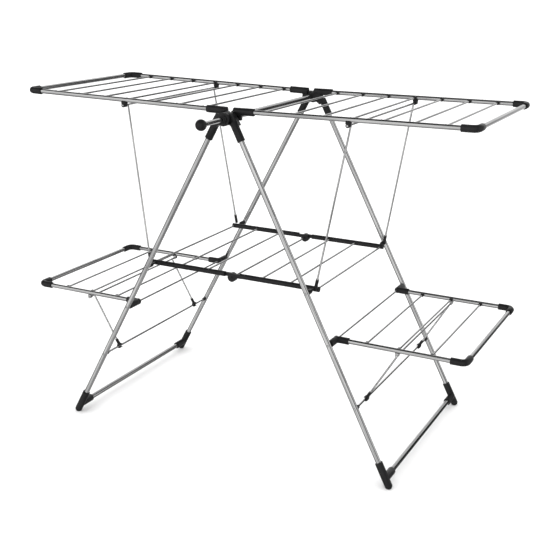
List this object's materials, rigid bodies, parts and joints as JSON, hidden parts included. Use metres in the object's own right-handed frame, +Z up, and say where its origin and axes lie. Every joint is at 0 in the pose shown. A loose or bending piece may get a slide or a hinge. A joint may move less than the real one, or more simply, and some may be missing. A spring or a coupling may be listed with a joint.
{
  "type": "clothes drying rack",
  "caption": "Folding gullwing clothes drying rack: steel tube legs in an inverted V, two propped top wings, a folding centre shelf and two lower side shelves.",
  "frame": {"origin": "on the floor under the middle of the fold axle", "axes": "+X along the wings, +Y from the hanger rod side to the back, +Z up"},
  "size_m": [1.5162, 0.8121, 1.0809],
  "materials": {
    "steel": "polished stainless tube and wire",
    "black_plastic": "satin moulded",
    "black_rail": "satin black rails with steel rods"
  },
  "bodies": {
    "hub_axle": {"hub_crossbar": "steel"},
    "hanger": {"hanger_rod": "steel", "hanger_rod_ball": "black_plastic"},
    "leg_frame_left": {"foot_cross_tube_left": "steel", "foot_left_front": "black_plastic", "foot_left_rear": "black_plastic", "leg_hub_left_front": "black_plastic", "leg_hub_left_rear": "black_plastic", "leg_tube_left_front": "steel", "leg_tube_left_rear": "steel", "prop_hook_rod_left": "steel", "shelf_bracket_left_front": "black_plastic", "shelf_bracket_left_rear": "black_plastic"},
    "wing_left": {"wing_elbow_left_front": "black_plastic", "wing_elbow_left_rear": "black_plastic", "wing_end_tube_left": "steel", "wing_hub_left_front": "black_plastic", "wing_hub_left_rear": "black_plastic", "wing_prop_clip_left_front": "black_plastic", "wing_prop_clip_left_rear": "black_plastic", "wing_rack_left": "steel"},
    "wing_prop_left": {"wing_prop_left": "steel"},
    "centre_shelf_left": {"centre_shelf_left": "black_rail"},
    "lower_shelf_left": {"lower_shelf_elbow_left_front": "black_plastic", "lower_shelf_elbow_left_rear": "black_plastic", "lower_shelf_end_tube_left": "steel", "lower_shelf_inner_rod_left": "steel", "lower_shelf_pivot_left_front": "black_plastic", "lower_shelf_pivot_left_rear": "black_plastic", "lower_shelf_rack_left": "steel"},
    "lower_shelf_prop_left": {"lower_shelf_prop_left": "steel"},
    "leg_frame_right": {"foot_cross_tube_right": "steel", "foot_right_front": "black_plastic", "foot_right_rear": "black_plastic", "leg_hub_right_front": "black_plastic", "leg_hub_right_rear": "black_plastic", "leg_tube_right_front": "steel", "leg_tube_right_rear": "steel", "prop_hook_rod_right": "steel", "shelf_bracket_right_front": "black_plastic", "shelf_bracket_right_rear": "black_plastic"},
    "wing_right": {"wing_elbow_right_front": "black_plastic", "wing_elbow_right_rear": "black_plastic", "wing_end_tube_right": "steel", "wing_hub_right_front": "black_plastic", "wing_hub_right_rear": "black_plastic", "wing_prop_clip_right_front": "black_plastic", "wing_prop_clip_right_rear": "black_plastic", "wing_rack_right": "steel"},
    "wing_prop_right": {"wing_prop_right": "steel"},
    "centre_shelf_right": {"centre_shelf_right": "black_rail"},
    "lower_shelf_right": {"lower_shelf_elbow_right_front": "black_plastic", "lower_shelf_elbow_right_rear": "black_plastic", "lower_shelf_end_tube_right": "steel", "lower_shelf_inner_rod_right": "steel", "lower_shelf_pivot_right_front": "black_plastic", "lower_shelf_pivot_right_rear": "black_plastic", "lower_shelf_rack_right": "steel"},
    "lower_shelf_prop_right": {"lower_shelf_prop_right": "steel"}
  },
  "joints": [
    {"name": "hanger_rod_slide", "type": "slide", "parent": "hub_axle", "child": "hanger", "axis": [0, -1, 0], "range_m": [-0.09, 0.14]},
    {"name": "leg_fold_left", "type": "hinge", "parent": "hub_axle", "child": "leg_frame_left", "pos_m": [0, 0, 1.041], "axis": [0, -1, 0], "range_deg": [0, 20]},
    {"name": "leg_fold_right", "type": "hinge", "parent": "hub_axle", "child": "leg_frame_right", "pos_m": [0, 0, 1.041], "axis": [0, 1, 0], "range_deg": [0, 20]},
    {"name": "centre_shelf_pivot", "type": "hinge", "parent": "leg_frame_left", "child": "centre_shelf_left", "pos_m": [-0.27621, 0, 0.557], "axis": [0, -1, 0], "range_deg": [0, 50]},
    {"name": "centre_shelf_knuckle", "type": "hinge", "parent": "centre_shelf_left", "child": "centre_shelf_right", "pos_m": [0, 0, 0.5495], "axis": [0, 1, 0], "range_deg": [0, 140]},
    {"name": "wing_fold_left", "type": "hinge", "parent": "hub_axle", "child": "wing_left", "pos_m": [0, 0, 1.041], "axis": [0, -1, 0], "range_deg": [0, 42]},
    {"name": "wing_prop_swing_left", "type": "hinge", "parent": "wing_left", "child": "wing_prop_left", "pos_m": [-0.3715, 0, 1.04902], "axis": [0, 1, 0], "range_deg": [0, 95]},
    {"name": "lower_shelf_fold_left", "type": "hinge", "parent": "leg_frame_left", "child": "lower_shelf_left", "pos_m": [-0.35285, 0, 0.4105], "axis": [0, 1, 0], "range_deg": [0, 100]},
    {"name": "lower_shelf_prop_swing_left", "type": "hinge", "parent": "lower_shelf_left", "child": "lower_shelf_prop_left", "pos_m": [-0.54445, 0, 0.3955], "axis": [0, 1, 0], "range_deg": [0, 110]},
    {"name": "wing_fold_right", "type": "hinge", "parent": "hub_axle", "child": "wing_right", "pos_m": [0, 0, 1.041], "axis": [0, 1, 0], "range_deg": [0, 42]},
    {"name": "wing_prop_swing_right", "type": "hinge", "parent": "wing_right", "child": "wing_prop_right", "pos_m": [0.3715, 0, 1.04902], "axis": [0, -1, 0], "range_deg": [0, 95]},
    {"name": "lower_shelf_fold_right", "type": "hinge", "parent": "leg_frame_right", "child": "lower_shelf_right", "pos_m": [0.35285, 0, 0.4105], "axis": [0, -1, 0], "range_deg": [0, 100]},
    {"name": "lower_shelf_prop_swing_right", "type": "hinge", "parent": "lower_shelf_right", "child": "lower_shelf_prop_right", "pos_m": [0.54445, 0, 0.3955], "axis": [0, -1, 0], "range_deg": [0, 110]}
  ],
  "couplings": [
    {"joint": "leg_fold_right", "follows": "leg_fold_left", "ratio": 1},
    {"joint": "centre_shelf_pivot", "follows": "leg_fold_left", "ratio": 2.5},
    {"joint": "centre_shelf_knuckle", "follows": "leg_fold_left", "ratio": 7},
    {"joint": "wing_prop_swing_left", "follows": "wing_fold_left", "ratio": 2.2618},
    {"joint": "lower_shelf_fold_left", "follows": "leg_fold_left", "ratio": 5},
    {"joint": "lower_shelf_prop_swing_left", "follows": "leg_fold_left", "ratio": 5.5},
    {"joint": "wing_prop_swing_right", "follows": "wing_fold_right", "ratio": 2.2618},
    {"joint": "lower_shelf_fold_right", "follows": "leg_fold_left", "ratio": 5},
    {"joint": "lower_shelf_prop_swing_right", "follows": "leg_fold_left", "ratio": 5.5}
  ]
}
